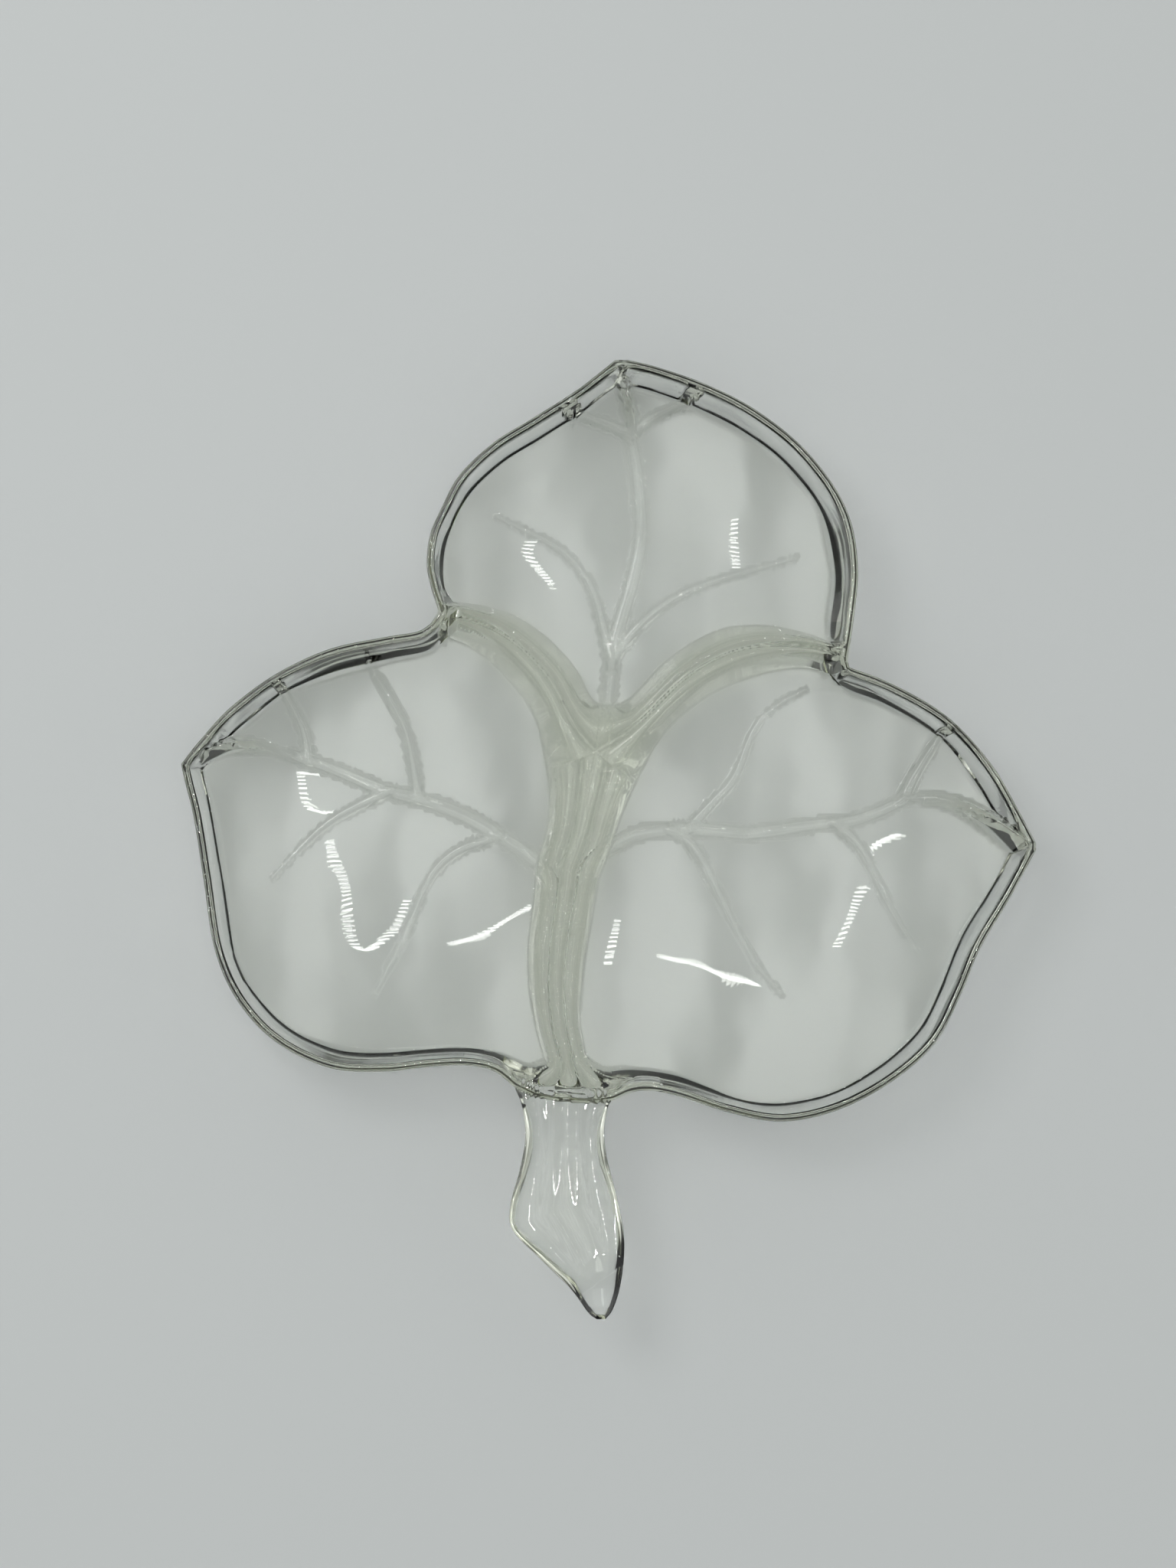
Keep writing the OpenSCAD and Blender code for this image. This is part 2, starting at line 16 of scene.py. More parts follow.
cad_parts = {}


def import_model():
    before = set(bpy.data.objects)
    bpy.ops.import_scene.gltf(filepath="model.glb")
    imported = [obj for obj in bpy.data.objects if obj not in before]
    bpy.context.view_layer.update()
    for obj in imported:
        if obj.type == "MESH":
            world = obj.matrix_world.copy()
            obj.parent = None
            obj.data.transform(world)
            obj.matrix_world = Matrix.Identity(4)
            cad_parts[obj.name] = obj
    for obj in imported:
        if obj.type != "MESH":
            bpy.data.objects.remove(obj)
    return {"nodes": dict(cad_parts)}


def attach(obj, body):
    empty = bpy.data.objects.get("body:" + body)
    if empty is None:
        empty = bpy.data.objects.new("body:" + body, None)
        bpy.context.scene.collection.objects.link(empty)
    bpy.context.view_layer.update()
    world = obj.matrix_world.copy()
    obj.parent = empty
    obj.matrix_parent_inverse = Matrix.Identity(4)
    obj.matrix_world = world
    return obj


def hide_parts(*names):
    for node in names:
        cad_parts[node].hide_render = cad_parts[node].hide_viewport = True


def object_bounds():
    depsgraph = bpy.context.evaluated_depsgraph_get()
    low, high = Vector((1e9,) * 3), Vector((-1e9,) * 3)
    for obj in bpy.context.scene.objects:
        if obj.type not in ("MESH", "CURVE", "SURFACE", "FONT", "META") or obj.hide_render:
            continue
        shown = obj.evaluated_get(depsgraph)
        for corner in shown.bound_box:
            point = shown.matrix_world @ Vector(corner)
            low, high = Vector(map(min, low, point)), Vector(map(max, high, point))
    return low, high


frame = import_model()
cad_low, cad_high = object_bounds()

# Sizes of the dish, in metres
STEM_L = 0.061
BOWL_W = cad_high.x - cad_low.x
BOWL_L = cad_high.y - cad_low.y - STEM_L
ROOT_Y = cad_low.y + STEM_L
RIM_H = 0.024
RIM_W = 0.0022
RIM_R = RIM_W / 2
RIM_MID = RIM_H - RIM_R
FLOOR_T = 0.0045
OUTER_RUN = 0.0052
# How hollow the walls are inside and outside: 1 is straight
WALL_HOLLOW = 3
OUTER_HOLLOW = 4
# Heights of the ridges and the stalks in the middle of the dish, and the runs over which a ridge sinks
# from the rim and over which it ends where the third leaf comes nearer
RIDGE_H = 0.018
STALK_H = 0.017
RIDGE_FALL = 0.024
RIDGE_FADE = 0.004
# Widest and narrowest fillet at the foot of a ridge, and its share of the distance to the floor
FOOT_R = 0.001
LEAST_FOOT_R = 0.0000001
FOOT_SHARE = 0.8
STEM_W = 0.027
STEM_T = 0.009
STEM_SAG = 0.003
STEM_FILLET = 0.0005
FOLD_H = 0.0009
FOLDS = 3
CUT_FILLET = 0.0004
VEIN_H = 0.0021
MIDRIB_W = 0.0048
CORD_W = 0.0042
CORD_H = 0.0018
CORD_END = 0.3
CORD_RISE = 0.0015
VEIN_W = 0.0039
SPINE_H = 0.003
SPINE_CROWN = 0.0012
SPINE_STEEPNESS = 5
SPINE_FILLET = 0.0006

# Section across a ridge, in shares of half its width, and across the stalks, in shares of their width:
# width of the steep side, height of its top, middle and half width of each crest, and fillet
RIDGE_SIDE = 0.6
RIDGE_SHOULDER = 0.8
CREST_MIDDLE = 0.26
CREST_HALF_W = 0.24
RIDGE_ROUND = 0.06
STALK_SIDE = 0.28
STALK_SHOULDER = 0.76
STALK_MIDDLES = (0.25, 0.5, 0.75)
STALK_HALF_W = 0.125
STALK_ROUND = 0.08
# How full the stem's section is (an ellipse has 0.5), and how far the stem reaches under the bowls' rim,
# as a share of the bowls' length
STEM_FULLNESS = 0.75
ROOT_REACH = 0.03

# Spacing of the mesh on plain floors, on shaped glass and along the outline
PLAIN_STEP = 0.0013
FINE_STEP = 0.00045
EDGE_STEP = 0.0006
# Points round a quarter of the rim's roll, and the rows behind it on the upper and the lower side: how far
# the first row is from the outline, how far the rows go, and their spacing
ROLL_POINTS = 8
UPPER_ROWS = (RIM_W, 0.0064, 0.0003)
LOWER_ROWS = (0.0019, 0.0058, 0.0006)
# Least gaps, in metres, from the last row to the net and from a floor's edge to its plain part, and as
# shares of a row's distance and of the fine step
NET_GAP = 0.0002
PLAIN_GAP = 0.002
ROW_SHARE = 0.97
CLEAR_SHARE = 0.7
# Straight parts into which each span of a curve is first divided
CURVE_PARTS = 40
# Distance over which the slope of the glass is measured
PROBE = 0.00002
# Distances within which a point counts as on the outline, as one with another, and as even with another
ROUNDING = 0.000001
SAME = 0.0000001
EVEN = 1e-12
# Keeps a divisor above zero
HAIR = 1e-9

# Plan outlines: x as a share of half the width, y as a share of the bowls' length from the root
RIM_SHARES = [
    # right leaf, from the root of the stem to its tip
    [(0.006, -0.003), (0.069, 0.01), (0.149, 0.004), (0.274, -0.019), (0.399, -0.032), (0.525, -0.018),
     (0.65, 0.018), (0.758, 0.071), (0.821, 0.138), (0.867, 0.2), (0.939, 0.27), (1, 0.334)],
    # right leaf, from its tip to the notch
    [(1, 0.343), (0.959, 0.388), (0.905, 0.443), (0.834, 0.493), (0.762, 0.528), (0.654, 0.562),
     (0.563, 0.582)],
    # top leaf, from the right notch to its tip
    [(0.559, 0.592), (0.574, 0.646), (0.585, 0.713), (0.569, 0.779), (0.521, 0.835), (0.44, 0.89),
     (0.332, 0.937), (0.224, 0.968), (0.116, 0.99), (0.044, 1)],
    # top leaf, from its tip to the left notch
    [(0.015, 1), (-0.073, 0.96), (-0.172, 0.923), (-0.271, 0.887), (-0.351, 0.843), (-0.394, 0.797),
     (-0.42, 0.762), (-0.428, 0.723), (-0.419, 0.692), (-0.4, 0.657)],
    # left leaf, from the notch to its tip
    [(-0.418, 0.641), (-0.45, 0.63), (-0.53, 0.622), (-0.656, 0.606), (-0.781, 0.572), (-0.888, 0.526),
     (-0.962, 0.479), (-1, 0.451)],
    # left leaf, from its tip to the root of the stem
    [(-1, 0.448), (-0.991, 0.425), (-0.97, 0.376), (-0.947, 0.293), (-0.921, 0.201), (-0.867, 0.131),
     (-0.778, 0.076), (-0.653, 0.041), (-0.529, 0.036), (-0.422, 0.042), (-0.333, 0.044), (-0.27, 0.036),
     (-0.222, 0.015)],
]
ROOT_SHARES = [(-0.222, 0.015), (-0.17, 0.002), (-0.105, -0.004), (-0.045, -0.006), (0.006, -0.003)]

# Floors of the leaves, with corners where two arcs of the wall's foot meet
FLOOR_SHARES = {
    "top": [
        [(-0.368, 0.679), (-0.387, 0.697), (-0.39, 0.725), (-0.382, 0.761), (-0.358, 0.801), (-0.315, 0.836),
         (-0.244, 0.873), (-0.168, 0.9), (-0.108, 0.923)],
        [(-0.108, 0.923), (-0.065, 0.937), (0.003, 0.97), (0.067, 0.976), (0.155, 0.958), (0.2, 0.948)],
        [(0.2, 0.948), (0.24, 0.936), (0.32, 0.912), (0.397, 0.885), (0.452, 0.85), (0.499, 0.815),
         (0.521, 0.759), (0.535, 0.712), (0.524, 0.653), (0.531, 0.624)],
        [(0.531, 0.624), (0.469, 0.637), (0.377, 0.647), (0.286, 0.643), (0.203, 0.622), (0.132, 0.592),
         (0.081, 0.561), (0.044, 0.541), (0.002, 0.537), (-0.036, 0.545), (-0.076, 0.587), (-0.135, 0.625),
         (-0.208, 0.656), (-0.281, 0.672), (-0.368, 0.679)]],
    "left": [
        [(-0.381, 0.63), (-0.317, 0.613), (-0.244, 0.577), (-0.177, 0.524), (-0.149, 0.463), (-0.139, 0.41),
         (-0.146, 0.363), (-0.171, 0.315)],
        [(-0.171, 0.315), (-0.175, 0.273), (-0.188, 0.205), (-0.186, 0.147), (-0.171, 0.095), (-0.15, 0.049)],
        [(-0.15, 0.049), (-0.19, 0.044), (-0.262, 0.06), (-0.353, 0.067), (-0.462, 0.064), (-0.571, 0.064),
         (-0.671, 0.074), (-0.753, 0.094), (-0.825, 0.132), (-0.88, 0.179), (-0.898, 0.252), (-0.926, 0.337),
         (-0.945, 0.4), (-0.957, 0.44), (-0.952, 0.462), (-0.93, 0.472), (-0.885, 0.497), (-0.84, 0.515),
         (-0.775, 0.552)],
        [(-0.775, 0.552), (-0.718, 0.561), (-0.645, 0.574), (-0.573, 0.586), (-0.5, 0.597), (-0.427, 0.607),
         (-0.381, 0.63)]],
    "right": [
        [(0.533, 0.579), (0.578, 0.553), (0.652, 0.537), (0.725, 0.516), (0.798, 0.492)],
        [(0.798, 0.492), (0.834, 0.468), (0.867, 0.436), (0.898, 0.41), (0.925, 0.385), (0.948, 0.362),
         (0.953, 0.335), (0.935, 0.305), (0.9, 0.273), (0.847, 0.229), (0.81, 0.173), (0.762, 0.107),
         (0.688, 0.06), (0.625, 0.032), (0.547, 0.006), (0.465, -0.006), (0.374, -0.01), (0.301, -0.003),
         (0.229, 0.016), (0.156, 0.032), (0.065, 0.039), (-0.008, 0.04), (-0.05, 0.055)],
        [(-0.05, 0.055), (-0.064, 0.105), (-0.057, 0.173), (-0.038, 0.242), (-0.02, 0.299)],
        [(-0.02, 0.299), (0.005, 0.336), (0.033, 0.384), (0.07, 0.433), (0.121, 0.487), (0.185, 0.526),
         (0.267, 0.558), (0.377, 0.581), (0.469, 0.588), (0.533, 0.579)]],
}

# Veins: the points of each from its root outwards, then its kind
VEIN_SHARES = [
    # top leaf
    ([(0, 0.54), (0.017, 0.621), (0.059, 0.706), (0.079, 0.77), (0.07, 0.855), (0.052, 0.915)], "midrib"),
    ([(0.008, 0.59), (-0.016, 0.653), (-0.043, 0.701), (-0.098, 0.743), (-0.171, 0.77),
      (-0.263, 0.796)], "side"),
    ([(0.014, 0.6), (0.066, 0.64), (0.14, 0.676), (0.231, 0.702), (0.341, 0.722), (0.451, 0.74)], "side"),
    ([(0.05, 0.911), (0.002, 0.924), (-0.053, 0.934), (-0.12, 0.94)], "climbing"),
    ([(0.056, 0.909), (0.103, 0.932), (0.158, 0.948), (0.215, 0.962)], "climbing"),
    # left leaf
    ([(-0.165, 0.318), (-0.262, 0.357), (-0.354, 0.386), (-0.445, 0.405), (-0.536, 0.419), (-0.663, 0.449),
      (-0.758, 0.468)], "midrib"),
    ([(-0.45, 0.406), (-0.468, 0.468), (-0.485, 0.505), (-0.518, 0.542), (-0.567, 0.59)], "climbing"),
    ([(-0.71, 0.458), (-0.727, 0.505), (-0.775, 0.557)], "climbing"),
    ([(-0.52, 0.418), (-0.645, 0.381), (-0.717, 0.347), (-0.799, 0.297)], "side"),
    ([(-0.26, 0.356), (-0.353, 0.336), (-0.408, 0.31), (-0.444, 0.273), (-0.481, 0.221),
      (-0.553, 0.14)], "side"),
    # right leaf
    ([(-0.02, 0.33), (0.066, 0.357), (0.193, 0.365), (0.34, 0.359), (0.486, 0.37), (0.596, 0.378),
      (0.716, 0.407)], "midrib"),
    ([(0.19, 0.364), (0.248, 0.4), (0.303, 0.436), (0.349, 0.5), (0.395, 0.532), (0.472, 0.558)], "side"),
    ([(0.7, 0.402), (0.742, 0.447), (0.797, 0.497)], "climbing"),
    ([(0.15, 0.362), (0.193, 0.347), (0.23, 0.315), (0.284, 0.252), (0.339, 0.191), (0.411, 0.138)], "side"),
    ([(0.54, 0.374), (0.604, 0.336), (0.677, 0.254), (0.737, 0.196)], "side"),
]
VEIN_KINDS = {
    # full width, height, and the shares of both at the end
    "midrib": (MIDRIB_W, VEIN_H, 0.85, 1),
    "side": (VEIN_W, VEIN_H, 0.35, 0.25),
    "climbing": (VEIN_W, VEIN_H, 0.7, 1.3),
}
# Cords over the stalks: the middle veins of the leaves run on into the stalks
CORD_SHARES = [
    [(0.0, 0.55), (-0.01, 0.5), (-0.02, 0.46), (-0.04, 0.4)],
    [(-0.17, 0.316), (-0.14, 0.298), (-0.125, 0.27), (-0.13, 0.22)],
    [(-0.01, 0.336), (-0.045, 0.315), (-0.065, 0.28), (-0.085, 0.23)],
]
# Spines: the points of each from the floor to the tip, then its width there along its length
SPINE_SHARES = [
    ([(0.06, 0.905), (0.05, 0.95), (0.03, 1)], [0.003, 0.0048, 0.005]),
    ([(-0.752, 0.466), (-0.86, 0.481), (-0.935, 0.473), (-1, 0.449)], [0.0026, 0.0052, 0.0048]),
    ([(0.71, 0.407), (0.8, 0.404), (0.89, 0.382), (1, 0.338)], [0.0026, 0.006, 0.0085]),
]
# Stem handle: x as a share of its width from the root's middle, y as a share of its length
STEM_LEFT_SHARES = [(-0.424, -0.04), (-0.391, -0.179), (-0.454, -0.334), (-0.543, -0.483), (-0.524, -0.598),
                    (-0.243, -0.729), (0.072, -0.864), (0.25, -0.969), (0.34, -1)]
STEM_RIGHT_SHARES = [(0.46, -0.04), (0.42, -0.145), (0.446, -0.267), (0.546, -0.442), (0.617, -0.598),
                     (0.624, -0.719), (0.58, -0.858), (0.506, -0.956), (0.43, -1)]
# Half thickness of the stem above and below its middle, at shares of its length, as shares of STEM_T
STEM_UP = ([0, 0.3, 0.6, 0.75, 0.9, 1], [0.02, 0.24, 0.34, 0.33, 0.21, 0.1])
STEM_DOWN = ([0, 0.3, 0.6, 0.8, 0.95, 1], [0.5, 0.58, 0.58, 0.5, 0.3, 0.1])
# Slanted cut at the stem's end: its middle, and how it rises along x and along y
CUT_MIDDLE = (-0.0034, -0.1203, 0.0224)
CUT_RISE = (-0.3, 0.3)


def lerp(a, b, t):
    return a + (b - a) * t


def smooth(t):
    t = np.clip(t, 0, 1)
    return t * t * (3 - 2 * t)


def plan(shares):
    return np.array([(x * BOWL_W / 2, ROOT_Y + y * BOWL_L) for x, y in shares])


def curve(points, step):
    """A smooth curve through the points, as points that lie step apart."""
    p = np.vstack([2 * points[0] - points[1], points, 2 * points[-1] - points[-2]])
    t = np.linspace(0, 1, CURVE_PARTS, endpoint=False)[:, None]
    dense = [points[-1:]]
    for a, b, c, d in zip(p[-4::-1], p[-3::-1], p[-2::-1], p[::-1]):
        dense.insert(0, (2 * b + (c - a) * t + (2 * a - 5 * b + 4 * c - d) * t**2
                         + (3 * b - a - 3 * c + d) * t**3) / 2)
    dense = np.vstack(dense)
    length = np.append(0, np.cumsum(np.linalg.norm(np.diff(dense, axis=0), axis=1)))
    at = np.linspace(0, length[-1], max(2, round(length[-1] / step)) + 1)
    return np.stack([np.interp(at, length, dense[:, k]) for k in (0, 1)], 1)


def joined(curves):
    """Curves end to end as one closed loop, whose first point isn't repeated."""
    loop = np.vstack(curves)
    gap = np.linalg.norm(loop - np.roll(loop, 1, axis=0), axis=1)
    return loop[gap > ROUNDING]


def closed(loop):
    return np.vstack([loop, loop[:1]])


def nearest(points, line, is_loop=False):
    """Distance of each point from a line, and the share of the line's length where it is nearest.

    The distance is positive on the left of the line, which is the inside of a loop that runs anticlockwise,
    and negative on the right.
    """
    tree = KDTree(len(line))
    for i, (x, y) in enumerate(line.tolist()):
        tree.insert((x, y, 0), i)
    tree.balance()
    middle = np.array([tree.find((x, y, 0))[1] for x, y in points.tolist()], int)
    last = len(line) - 1
    if is_loop:
        before, after = (middle - 1) % len(line), (middle + 1) % len(line)
        starts = np.append(0, np.cumsum(np.linalg.norm(np.diff(closed(line), axis=0), axis=1)))
    else:
        before, after = np.maximum(middle - 1, 0), np.minimum(middle + 1, last)
        starts = np.append(0, np.cumsum(np.linalg.norm(np.diff(line, axis=0), axis=1)))
    best = None
    for a, b in ((before, middle), (middle, after)):
        along = line[b] - line[a]
        size = (along**2).sum(1)
        apart = points - line[a]
        t = np.clip((apart * along).sum(1) / np.maximum(size, EVEN**2), 0, 1)
        rest = apart - along * t[:, None]
        far = np.hypot(rest[:, 0], rest[:, 1])
        side = along[:, 0] * rest[:, 1] - along[:, 1] * rest[:, 0]
        unit = side / np.maximum(np.sqrt(size), EVEN)
        place = starts[a] + t * np.sqrt(size)
        if best is None:
            best = far, place, unit
            continue
        closer = far < best[0] - EVEN
        even = np.abs(far - best[0]) <= EVEN
        best = (np.where(closer, far, best[0]), np.where(closer, place, best[1]),
                np.where(even, unit + best[2], np.where(closer, unit, best[2])))
    far, place, side = best
    return np.where(side < 0, -far, far), place / starts[-1]


def soft_max(a, b, k):
    """The larger of two heights, with a fillet of about k where they cross."""
    h = np.clip(k - np.abs(a - b), 0, None) / k
    return np.maximum(a, b) + h * h * k / 4


def soft_min(a, b, k):
    return -soft_max(-a, -b, k)


# Outlines as curves
rims = [curve(plan(shares), EDGE_STEP) for shares in RIM_SHARES]
root_line = curve(plan(ROOT_SHARES), EDGE_STEP)
bowl_loop = joined(rims + [root_line])
floor_loops = {name: joined([curve(plan(part), EDGE_STEP / 2) for part in parts])[::-1]
               for name, parts in FLOOR_SHARES.items()}
root_middle = (root_line[0] + root_line[-1]) / 2


def stem_edge(start, shares):
    places = [(root_middle[0] + x * STEM_W, ROOT_Y + y * STEM_L) for x, y in shares]
    return curve(np.vstack([start, places]), EDGE_STEP)


stem_left = stem_edge(root_line[0], STEM_LEFT_SHARES)
stem_right = stem_edge(root_line[-1], STEM_RIGHT_SHARES)
whole_loop = joined(rims + [stem_left, stem_right[::-1]])


def roll_up(d):
    """Height of the rim's roll above its middle, at a distance from its outer edge."""
    return RIM_R * np.sqrt(np.clip(1 - (1 - np.clip(d / RIM_R, 0, 1))**2, 0, 1))


def ridge_section(v):
    """Height across a ridge from foot to foot, as a share: steep sides, and two crests with a hollow."""
    u = np.abs(2 * v - 1)
    side = (1 - u) / RIDGE_SIDE
    crests = np.sqrt(np.clip(1 - ((u - CREST_MIDDLE) / CREST_HALF_W)**2, 0, 1))
    return soft_min(side, lerp(RIDGE_SHOULDER, 1, crests), RIDGE_ROUND)


def stalk_section(v):
    """Height across the bundle of three stalks, as a share."""
    side = (1 - np.abs(2 * v - 1)) / STALK_SIDE
    stalks = [np.sqrt(np.clip(1 - ((v - middle) / STALK_HALF_W)**2, 0, 1)) for middle in STALK_MIDDLES]
    return soft_min(side, lerp(STALK_SHOULDER, 1, np.maximum.reduce(stalks)), STALK_ROUND)


def beads(points, lines):
    """How far rounded beads stand out at each point.

    Each line has its shares, its width and height, and the shares of both at its end.
    """
    relief = np.zeros(len(points))
    for shares, width, high, w_end, h_end in lines:
        line = curve(plan(shares), EDGE_STEP * 2)
        near = np.all((points > line.min(0) - width) & (points < line.max(0) + width), axis=1)
        far, share = nearest(points[near], line)
        half = width / 2 * lerp(1, w_end, share)
        bead = high * lerp(1, h_end, share) * np.sqrt(np.clip(1 - (far / half)**2, 0, 1))
        relief[near] = np.cbrt(relief[near]**3 + bead**3)
    return relief


def vein_relief(points):
    return beads(points, [(shares, *VEIN_KINDS[kind]) for shares, kind in VEIN_SHARES])


def cord_relief(points):
    return beads(points, [(shares, CORD_W, CORD_H, 1, CORD_END) for shares in CORD_SHARES])


def spine_height(points):
    """Height of the spines that climb from the floors to the tips."""
    height = np.zeros(len(points))
    for shares, widths in SPINE_SHARES:
        line = curve(plan(shares), EDGE_STEP)
        reach = max(widths)
        near = np.all((points > line.min(0) - reach) & (points < line.max(0) + reach), axis=1)
        far, share = nearest(points[near], line)
        far = np.abs(far)
        half = np.interp(share, [0, 0.5, 1], widths) / 2
        climb = FLOOR_T + SPINE_H + (RIM_H - FLOOR_T - SPINE_H) * smooth(share)
        side = FLOOR_T + (half - far) * SPINE_STEEPNESS
        back = climb - SPINE_CROWN * (far / half)**2
        height[near] = np.maximum(height[near], soft_min(side, back, SPINE_CROWN))
    return height


def stem_place(points):
    """Share of the way across the stem and along it, for points on it or near its root."""
    far_left, _ = nearest(points, np.vstack([stem_left[0] + (0, STEM_W), stem_left]))
    far_right, _ = nearest(points, np.vstack([stem_right[0] + (0, STEM_W), stem_right]))
    across = np.abs(far_left) / (np.abs(far_left) + np.abs(far_right))
    along = np.clip((ROOT_Y - points[:, 1]) / STEM_L, 0, 1)
    return across, along


def stem_heights(points):
    """Heights of the stem's upper and lower side and of its middle, at points on it or near its root."""
    across, along = stem_place(points)
    bulge = np.clip(1 - (2 * across - 1)**2, 0, 1)**STEM_FULLNESS
    middle = RIM_MID - STEM_SAG * np.sin(math.pi * along)
    up = np.interp(along, *STEM_UP) * STEM_T * bulge
    down = np.interp(along, *STEM_DOWN) * STEM_T * bulge
    folds = FOLD_H * (1 - np.cos(2 * FOLDS * math.pi * across)) / 2 * bulge * (1 - along)
    cut = CUT_MIDDLE[2] + (points - CUT_MIDDLE[:2]) @ np.array(CUT_RISE)
    return soft_min(middle + up + folds, np.maximum(cut, middle), CUT_FILLET), middle - down, middle


def heights(points):
    """Heights of the upper and the lower side of the glass, and of its edge, at each point of the plan."""
    d_rim, _ = nearest(points, bowl_loop, True)
    in_bowl = d_rim > -ROUNDING
    d_rim = np.abs(d_rim)
    floors = {name: np.clip(-nearest(points, loop, True)[0], 0, None) for name, loop in floor_loops.items()}
    to_floor = np.minimum.reduce(list(floors.values()))
    relief = vein_relief(points)

    # Wall: a roll along the rim, and a hollow curve from it down to the floor
    within = np.clip(d_rim - RIM_W - relief, 0, None)
    down = within / (within + to_floor + HAIR)
    wall = FLOOR_T + (RIM_MID - FLOOR_T) * np.clip(1 - down, 0, 1)**WALL_HOLLOW
    rim = RIM_MID + RIM_R * np.sqrt(np.clip(1 - ((d_rim - RIM_R) / RIM_R)**2, 0, 1))
    top = np.where(d_rim < RIM_W + relief, np.maximum(rim, np.where(d_rim < RIM_W, 0, RIM_MID)), wall)
    top = np.where(to_floor > 0, top, FLOOR_T + relief)

    # Ridges between the leaves and the stalks between the side leaves
    crest = lerp(RIM_H, RIDGE_H, smooth(d_rim / RIDGE_FALL))
    pairs = [("top", "left", crest, ridge_section), ("top", "right", crest, ridge_section),
             ("left", "right", STALK_H, stalk_section)]
    foot = np.clip(FOOT_SHARE * to_floor, LEAST_FOOT_R, FOOT_R)
    for a, b, high, section in pairs:
        across = floors[a] / (floors[a] + floors[b] + HAIR)
        third = sum(floors.values()) - floors[a] - floors[b]
        fade = smooth(1 + (third - np.maximum(floors[a], floors[b])) / RIDGE_FADE)
        ridge = FLOOR_T + (high - FLOOR_T) * section(across) * fade
        top = np.where(to_floor > 0, soft_max(top, ridge, foot), top)
    top = soft_max(top, spine_height(points), SPINE_FILLET)
    top = np.where(to_floor > 0, top + np.clip(to_floor / CORD_RISE, 0, 1) * cord_relief(points), top)
    top = np.minimum(top, RIM_MID + roll_up(d_rim))

    # Outside of the wall, which leaves the table in a hollow curve
    base = RIM_MID * np.clip(1 - d_rim / OUTER_RUN, 0, 1)**OUTER_HOLLOW
    edge = np.full(len(points), RIM_MID)

    # Stem, which runs on under the rim at its root
    near_stem = points[:, 1] < ROOT_Y + BOWL_L * ROOT_REACH
    near_stem &= np.abs(points[:, 0] - root_middle[0]) < STEM_W
    near_stem |= ~in_bowl
    up, low, middle = stem_heights(points[near_stem])
    here = in_bowl[near_stem]
    blend = smooth(2 - d_rim[near_stem] / RIM_W)
    up_in = lerp(FLOOR_T, up, blend)
    top[near_stem] = np.where(here, np.minimum(soft_max(top[near_stem], up_in, STEM_FILLET), RIM_H), up)
    low_in = lerp(RIM_MID, low, blend)
    base[near_stem] = np.where(here, soft_min(base[near_stem], low_in, STEM_FILLET), low)
    edge[near_stem] = np.where(here, RIM_MID, middle)
    return top, base, edge


def hexagons(low, high, step):
    """Points of an even triangular net over a rectangle."""
    rise = step * math.sqrt(3) / 2
    rows = np.arange(low[1], high[1], rise)
    cols = np.arange(low[0], high[0], step)
    x, y = np.meshgrid(cols, rows)
    x = x + (np.arange(len(rows)) % 2)[:, None] * step / 2
    return np.stack([x.ravel(), y.ravel()], 1)


def rows_within(loop, reaches):
    """Rows of points inside a loop at the given distances from it, thinned where they would crowd."""
    ahead = np.roll(loop, -1, axis=0) - np.roll(loop, 1, axis=0)
    normal = np.stack([-ahead[:, 1], ahead[:, 0]], 1) / np.linalg.norm(ahead, axis=1)[:, None]
    rows = np.vstack([loop + normal * reach for reach in reaches])
    wanted = np.repeat(reaches, len(loop))
    far, _ = nearest(rows, loop, True)
    return rows[far > wanted * ROW_SHARE]


def on_plain_floor(points):
    """True for each point on a floor, away from its edge and from the veins."""
    plain = np.zeros(len(points), bool)
    for loop in floor_loops.values():
        plain |= nearest(points, loop, True)[0] > PLAIN_GAP
    return plain & (vein_relief(points) == 0)


def side_points(loop, fine):
    """Points inside the outline at which one side of the glass is worked out."""
    angles = np.linspace(0, math.pi / 2, ROLL_POINTS)
    roll = np.concatenate([RIM_R * (1 - np.cos(angles[1:])), RIM_R * (1 + np.sin(angles[1:-1]))])
    if fine:
        reaches = np.concatenate([roll, np.arange(*UPPER_ROWS)])
    else:
        reaches = np.concatenate([roll[:ROLL_POINTS - 1], np.arange(*LOWER_ROWS)])
    net = hexagons(loop.min(0), loop.max(0), FINE_STEP if fine else PLAIN_STEP)
    far, _ = nearest(net, loop, True)
    net = net[far > reaches[-1] + NET_GAP]
    if fine:
        coarse = hexagons(loop.min(0), loop.max(0), PLAIN_STEP)
        net = np.vstack([net[~on_plain_floor(net)], coarse[on_plain_floor(coarse)]])
    inner = np.vstack([rows_within(loop, reaches), net])
    if fine:
        for floor in floor_loops.values():
            far, _ = nearest(inner, floor, True)
            inner = np.vstack([inner[np.abs(far) > FINE_STEP * CLEAR_SHARE], floor])
    return inner


def triangles(loop, points):
    """Triangles between the outline's points and the points inside it."""
    places = [Vector(p) for p in np.vstack([loop, points]).tolist()]
    ring = [list(range(len(loop)))]
    made, _, faces, origin, _, _ = delaunay_2d_cdt(places, [], ring, 1, SAME)
    if len(made) != len(places):
        raise ValueError(f"the outline crosses itself: {len(made)} points out of {len(places)}")
    first = np.array([o[0] for o in origin])
    return first[np.array(faces)]


def side_surface(points, side):
    """Heights of one side of the glass, 0 for the upper and 1 for the lower, and its true normals."""
    here, right, ahead = (heights(points + shift)[side] for shift in ((0, 0), (PROBE, 0), (0, PROBE)))
    normals = np.column_stack([here - right, here - ahead, np.full(len(points), PROBE)])
    if side == 1:
        normals = -normals
    return here, normals / np.linalg.norm(normals, axis=1)[:, None]


